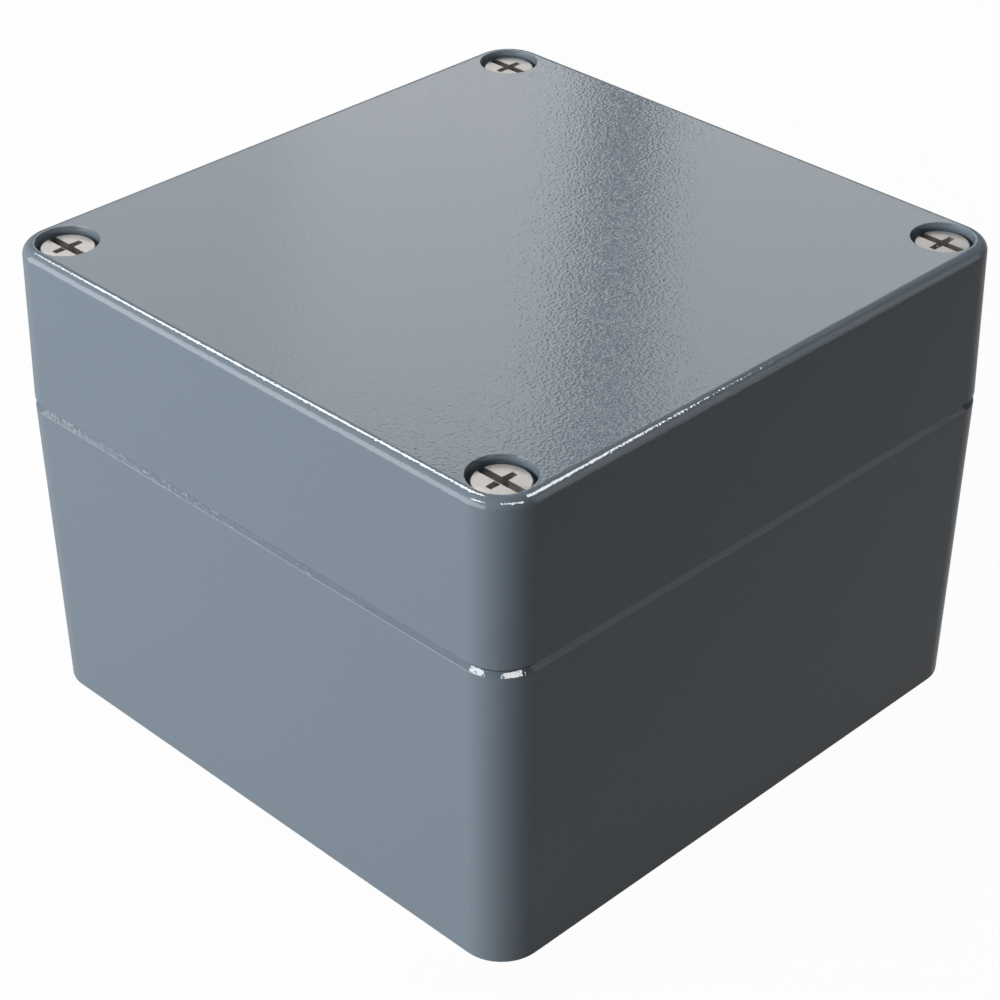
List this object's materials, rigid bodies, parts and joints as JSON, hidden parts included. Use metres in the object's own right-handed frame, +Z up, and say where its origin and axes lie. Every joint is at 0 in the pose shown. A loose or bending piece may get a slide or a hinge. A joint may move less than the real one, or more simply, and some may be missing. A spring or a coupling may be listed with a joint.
{
  "type": "die cast aluminium enclosure",
  "caption": "Painted die cast aluminium box with a screwed lid, captive lid screws, a gasket and inner earth terminals.",
  "frame": {"origin": "centre of the bottom face", "axes": "+X along the length, +Y along the width, +Z up through the lid; the corner at -X -Y faces the camera of the picture"},
  "size_m": [0.122, 0.12, 0.0895],
  "materials": {
    "painted_casting": "blue-grey powder coat with a fine orange peel",
    "seal_rubber": "matt",
    "screw_steel": "plain stainless, slightly satin",
    "ring_plastic": "natural, smooth",
    "terminal_steel": "zinc plated",
    "terminal_brass": "plain"
  },
  "bodies": {
    "base": {"base_shell": "painted_casting"},
    "lid": {"lid_shell": "painted_casting", "gasket": "seal_rubber"},
    "ring_front": {"retaining_ring_front": "ring_plastic"},
    "screw_front": {"lid_screw_front": "screw_steel"},
    "ring_left": {"retaining_ring_left": "ring_plastic"},
    "screw_left": {"lid_screw_left": "screw_steel"},
    "ring_right": {"retaining_ring_right": "ring_plastic"},
    "screw_right": {"lid_screw_right": "screw_steel"},
    "ring_back": {"retaining_ring_back": "ring_plastic"},
    "screw_back": {"lid_screw_back": "screw_steel"},
    "base_clamp": {"base_earth_spring_washer": "terminal_steel", "base_earth_flat_washer": "terminal_steel", "base_earth_saddle": "terminal_brass"},
    "base_terminal_screw": {"base_earth_screw": "terminal_steel"},
    "lid_clamp": {"lid_earth_spring_washer": "terminal_steel", "lid_earth_flat_washer": "terminal_steel", "lid_earth_saddle": "terminal_brass"},
    "lid_terminal_screw": {"lid_earth_screw": "terminal_steel"}
  },
  "joints": [
    {"name": "lid_lift", "type": "slide", "parent": "base", "child": "lid", "axis": [0, 0, 1], "range_m": [0, 0.1]},
    {"name": "screw_front_rise", "type": "slide", "parent": "lid", "child": "ring_front", "axis": [0, 0, 1], "range_m": [0, 0.01]},
    {"name": "screw_front_turn", "type": "hinge", "parent": "ring_front", "child": "screw_front", "pos_m": [-0.053, -0.052, 0.08], "axis": [0, 0, 1], "range_deg": [0, 3600]},
    {"name": "screw_left_rise", "type": "slide", "parent": "lid", "child": "ring_left", "axis": [0, 0, 1], "range_m": [0, 0.01]},
    {"name": "screw_left_turn", "type": "hinge", "parent": "ring_left", "child": "screw_left", "pos_m": [-0.053, 0.052, 0.08], "axis": [0, 0, 1], "range_deg": [0, 3600]},
    {"name": "screw_right_rise", "type": "slide", "parent": "lid", "child": "ring_right", "axis": [0, 0, 1], "range_m": [0, 0.01]},
    {"name": "screw_right_turn", "type": "hinge", "parent": "ring_right", "child": "screw_right", "pos_m": [0.053, -0.052, 0.08], "axis": [0, 0, 1], "range_deg": [0, 3600]},
    {"name": "screw_back_rise", "type": "slide", "parent": "lid", "child": "ring_back", "axis": [0, 0, 1], "range_m": [0, 0.01]},
    {"name": "screw_back_turn", "type": "hinge", "parent": "ring_back", "child": "screw_back", "pos_m": [0.053, 0.052, 0.08], "axis": [0, 0, 1], "range_deg": [0, 3600]},
    {"name": "base_terminal_open", "type": "slide", "parent": "base", "child": "base_clamp", "axis": [0, 0, 1], "range_m": [0, 0.004]},
    {"name": "base_terminal_turn", "type": "hinge", "parent": "base_clamp", "child": "base_terminal_screw", "pos_m": [-0.0465, 0, 0.0125], "axis": [0, 0, 1], "range_deg": [0, 1800]},
    {"name": "lid_terminal_open", "type": "slide", "parent": "lid", "child": "lid_clamp", "axis": [0, 0, -1], "range_m": [0, 0.0035]},
    {"name": "lid_terminal_turn", "type": "hinge", "parent": "lid_clamp", "child": "lid_terminal_screw", "pos_m": [-0.0454, 0, 0.0775], "axis": [0, 0, -1], "range_deg": [0, 1800]}
  ],
  "couplings": [
    {"joint": "screw_front_turn", "follows": "screw_front_rise", "rad_per_m": 6283.2},
    {"joint": "screw_left_turn", "follows": "screw_left_rise", "rad_per_m": 6283.2},
    {"joint": "screw_right_turn", "follows": "screw_right_rise", "rad_per_m": 6283.2},
    {"joint": "screw_back_turn", "follows": "screw_back_rise", "rad_per_m": 6283.2},
    {"joint": "base_terminal_turn", "follows": "base_terminal_open", "rad_per_m": 7854},
    {"joint": "lid_terminal_turn", "follows": "lid_terminal_open", "rad_per_m": 8976}
  ]
}
